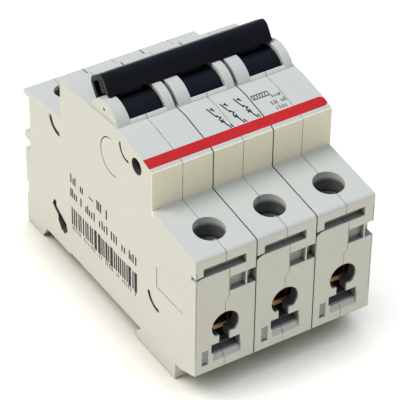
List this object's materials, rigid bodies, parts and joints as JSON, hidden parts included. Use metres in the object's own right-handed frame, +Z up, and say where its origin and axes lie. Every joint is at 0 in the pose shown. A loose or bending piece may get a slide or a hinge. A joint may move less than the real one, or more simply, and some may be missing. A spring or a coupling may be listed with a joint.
{
  "type": "circuit breaker",
  "caption": "Multi-pole rail-mounted circuit breaker lying on its back, light grey housings with a tied black toggle bar, screw terminals at both ends and pull-out rail clips",
  "frame": {"origin": "Middle of the housing in X and Y, on the plane the feet stand on", "axes": "+X across the poles from the first to the third, +Y along the housing from the line terminals to the load terminals, +Z up from the rail side to the toggles"},
  "size_m": [0.0524, 0.085, 0.0688],
  "materials": {
    "housing": "light grey moulded thermoset, finely textured",
    "toggle_black": "black moulded plastic with a soft sheen",
    "tie_bar_black": "black moulded plastic with a soft sheen",
    "clip_dark": "dark grey moulded plastic",
    "steel": "bright drawn steel",
    "spring_steel": "dark drawn spring wire",
    "screw_steel": "zinc-plated steel",
    "cage_brass": "warm brass-coloured plated cage",
    "copper": "plain copper strip",
    "copper_braid": "woven copper braid",
    "coil_wire": "enamelled copper wire",
    "yoke_steel": "pressed magnetic steel",
    "chute_steel": "plated steel plates",
    "bimetal": "bimetal strip",
    "trip_bar_plastic": "dark moulded plastic",
    "trip_lever_plastic": "cream moulded plastic"
  },
  "bodies": {
    "case": {"left_shell_1": "housing", "right_shell_1": "housing", "fixed_contact_1": "copper", "line_conductor_1": "copper", "trip_coil_1": "coil_wire", "arc_chute_1": "chute_steel", "bimetal_1": "bimetal", "load_conductor_1": "copper", "left_shell_2": "housing", "right_shell_2": "housing", "fixed_contact_2": "copper", "line_conductor_2": "copper", "trip_coil_2": "coil_wire", "arc_chute_2": "chute_steel", "bimetal_2": "bimetal", "load_conductor_2": "copper", "left_shell_3": "housing", "right_shell_3": "housing", "fixed_contact_3": "copper", "line_conductor_3": "copper", "trip_coil_3": "coil_wire", "arc_chute_3": "chute_steel", "bimetal_3": "bimetal", "load_conductor_3": "copper", "toggle_axles": "steel", "coil_yokes": "yoke_steel", "braids": "copper_braid", "pole_tie_pins": "steel"},
    "handle": {"toggle_1": "toggle_black", "toggle_2": "toggle_black", "toggle_3": "toggle_black", "tie_bar": "tie_bar_black", "toggle_springs": "spring_steel"},
    "link_1": {"toggle_link_1": "steel"},
    "contact_1": {"moving_contact_1": "copper"},
    "plunger_1": {"trip_plunger_1": "steel"},
    "link_2": {"toggle_link_2": "steel"},
    "contact_2": {"moving_contact_2": "copper"},
    "plunger_2": {"trip_plunger_2": "steel"},
    "link_3": {"toggle_link_3": "steel"},
    "contact_3": {"moving_contact_3": "copper"},
    "plunger_3": {"trip_plunger_3": "steel"},
    "trip_shaft": {"trip_bar": "trip_bar_plastic", "trip_levers": "trip_lever_plastic"},
    "line_screw_1": {"line_screw_1": "screw_steel"},
    "line_cage_1": {"line_cage_1": "cage_brass"},
    "load_screw_1": {"load_screw_1": "screw_steel"},
    "load_cage_1": {"load_cage_1": "cage_brass"},
    "rail_clip_1": {"rail_clip_1": "clip_dark"},
    "line_screw_2": {"line_screw_2": "screw_steel"},
    "line_cage_2": {"line_cage_2": "cage_brass"},
    "load_screw_2": {"load_screw_2": "screw_steel"},
    "load_cage_2": {"load_cage_2": "cage_brass"},
    "rail_clip_2": {"rail_clip_2": "clip_dark"},
    "line_screw_3": {"line_screw_3": "screw_steel"},
    "line_cage_3": {"line_cage_3": "cage_brass"},
    "load_screw_3": {"load_screw_3": "screw_steel"},
    "load_cage_3": {"load_cage_3": "cage_brass"},
    "rail_clip_3": {"rail_clip_3": "clip_dark"}
  },
  "joints": [
    {"name": "handle_turn", "type": "hinge", "parent": "case", "child": "handle", "pos_m": [0, 0.0006, 0.057], "axis": [1, 0, 0], "range_deg": [0, 70]},
    {"name": "link_turn_1", "type": "hinge", "parent": "handle", "child": "link_1", "pos_m": [-0.0175, -0.00164, 0.05381], "axis": [1, 0, 0], "range_deg": [-78.3, 0]},
    {"name": "contact_swing_1", "type": "hinge", "parent": "case", "child": "contact_1", "pos_m": [-0.0175, 0.004, 0.033], "axis": [1, 0, 0], "range_deg": [-20, 0]},
    {"name": "plunger_stroke_1", "type": "slide", "parent": "case", "child": "plunger_1", "axis": [0, 0, 1], "range_m": [0, 0.0025], "stiffness_N_per_m": 100, "springref_m": -0.002},
    {"name": "link_turn_2", "type": "hinge", "parent": "handle", "child": "link_2", "pos_m": [0, -0.00164, 0.05381], "axis": [1, 0, 0], "range_deg": [-78.3, 0]},
    {"name": "contact_swing_2", "type": "hinge", "parent": "case", "child": "contact_2", "pos_m": [0, 0.004, 0.033], "axis": [1, 0, 0], "range_deg": [-20, 0]},
    {"name": "plunger_stroke_2", "type": "slide", "parent": "case", "child": "plunger_2", "axis": [0, 0, 1], "range_m": [0, 0.0025], "stiffness_N_per_m": 100, "springref_m": -0.002},
    {"name": "link_turn_3", "type": "hinge", "parent": "handle", "child": "link_3", "pos_m": [0.0175, -0.00164, 0.05381], "axis": [1, 0, 0], "range_deg": [-78.3, 0]},
    {"name": "contact_swing_3", "type": "hinge", "parent": "case", "child": "contact_3", "pos_m": [0.0175, 0.004, 0.033], "axis": [1, 0, 0], "range_deg": [-20, 0]},
    {"name": "plunger_stroke_3", "type": "slide", "parent": "case", "child": "plunger_3", "axis": [0, 0, 1], "range_m": [0, 0.0025], "stiffness_N_per_m": 100, "springref_m": -0.002},
    {"name": "trip_turn", "type": "hinge", "parent": "case", "child": "trip_shaft", "pos_m": [0, 0.012, 0.0415], "axis": [1, 0, 0], "range_deg": [-12, 0], "stiffness_Nm_per_rad": 0.02, "springref_deg": 8.59},
    {"name": "line_screw_turn_1", "type": "hinge", "parent": "case", "child": "line_screw_1", "pos_m": [-0.0171, -0.034, 0.037], "axis": [0, 0, -1], "range_deg": [0, 2160]},
    {"name": "line_cage_lift_1", "type": "slide", "parent": "case", "child": "line_cage_1", "axis": [0, 0, 1], "range_m": [0, 0.0048]},
    {"name": "load_screw_turn_1", "type": "hinge", "parent": "case", "child": "load_screw_1", "pos_m": [-0.0171, 0.034, 0.037], "axis": [0, 0, -1], "range_deg": [0, 2160]},
    {"name": "load_cage_lift_1", "type": "slide", "parent": "case", "child": "load_cage_1", "axis": [0, 0, 1], "range_m": [0, 0.0048]},
    {"name": "rail_clip_pull_1", "type": "slide", "parent": "case", "child": "rail_clip_1", "axis": [0, 1, 0], "range_m": [0, 0.0045], "stiffness_N_per_m": 500, "springref_m": -0.002},
    {"name": "line_screw_turn_2", "type": "hinge", "parent": "case", "child": "line_screw_2", "pos_m": [0.0004, -0.034, 0.037], "axis": [0, 0, -1], "range_deg": [0, 2160]},
    {"name": "line_cage_lift_2", "type": "slide", "parent": "case", "child": "line_cage_2", "axis": [0, 0, 1], "range_m": [0, 0.0048]},
    {"name": "load_screw_turn_2", "type": "hinge", "parent": "case", "child": "load_screw_2", "pos_m": [0.0004, 0.034, 0.037], "axis": [0, 0, -1], "range_deg": [0, 2160]},
    {"name": "load_cage_lift_2", "type": "slide", "parent": "case", "child": "load_cage_2", "axis": [0, 0, 1], "range_m": [0, 0.0048]},
    {"name": "rail_clip_pull_2", "type": "slide", "parent": "case", "child": "rail_clip_2", "axis": [0, 1, 0], "range_m": [0, 0.0045], "stiffness_N_per_m": 500, "springref_m": -0.002},
    {"name": "line_screw_turn_3", "type": "hinge", "parent": "case", "child": "line_screw_3", "pos_m": [0.0179, -0.034, 0.037], "axis": [0, 0, -1], "range_deg": [0, 2160]},
    {"name": "line_cage_lift_3", "type": "slide", "parent": "case", "child": "line_cage_3", "axis": [0, 0, 1], "range_m": [0, 0.0048]},
    {"name": "load_screw_turn_3", "type": "hinge", "parent": "case", "child": "load_screw_3", "pos_m": [0.0179, 0.034, 0.037], "axis": [0, 0, -1], "range_deg": [0, 2160]},
    {"name": "load_cage_lift_3", "type": "slide", "parent": "case", "child": "load_cage_3", "axis": [0, 0, 1], "range_m": [0, 0.0048]},
    {"name": "rail_clip_pull_3", "type": "slide", "parent": "case", "child": "rail_clip_3", "axis": [0, 1, 0], "range_m": [0, 0.0045], "stiffness_N_per_m": 500, "springref_m": -0.002}
  ],
  "couplings": [
    {"joint": "link_turn_1", "follows": "handle_turn", "ratio": -1.1168},
    {"joint": "contact_swing_1", "follows": "handle_turn", "ratio": -0.2857},
    {"joint": "link_turn_2", "follows": "handle_turn", "ratio": -1.1168},
    {"joint": "contact_swing_2", "follows": "handle_turn", "ratio": -0.2857},
    {"joint": "link_turn_3", "follows": "handle_turn", "ratio": -1.1168},
    {"joint": "contact_swing_3", "follows": "handle_turn", "ratio": -0.2857},
    {"joint": "line_screw_turn_1", "follows": "line_cage_lift_1", "rad_per_m": 7854},
    {"joint": "load_screw_turn_1", "follows": "load_cage_lift_1", "rad_per_m": 7854},
    {"joint": "line_screw_turn_2", "follows": "line_cage_lift_2", "rad_per_m": 7854},
    {"joint": "load_screw_turn_2", "follows": "load_cage_lift_2", "rad_per_m": 7854},
    {"joint": "line_screw_turn_3", "follows": "line_cage_lift_3", "rad_per_m": 7854},
    {"joint": "load_screw_turn_3", "follows": "load_cage_lift_3", "rad_per_m": 7854}
  ]
}
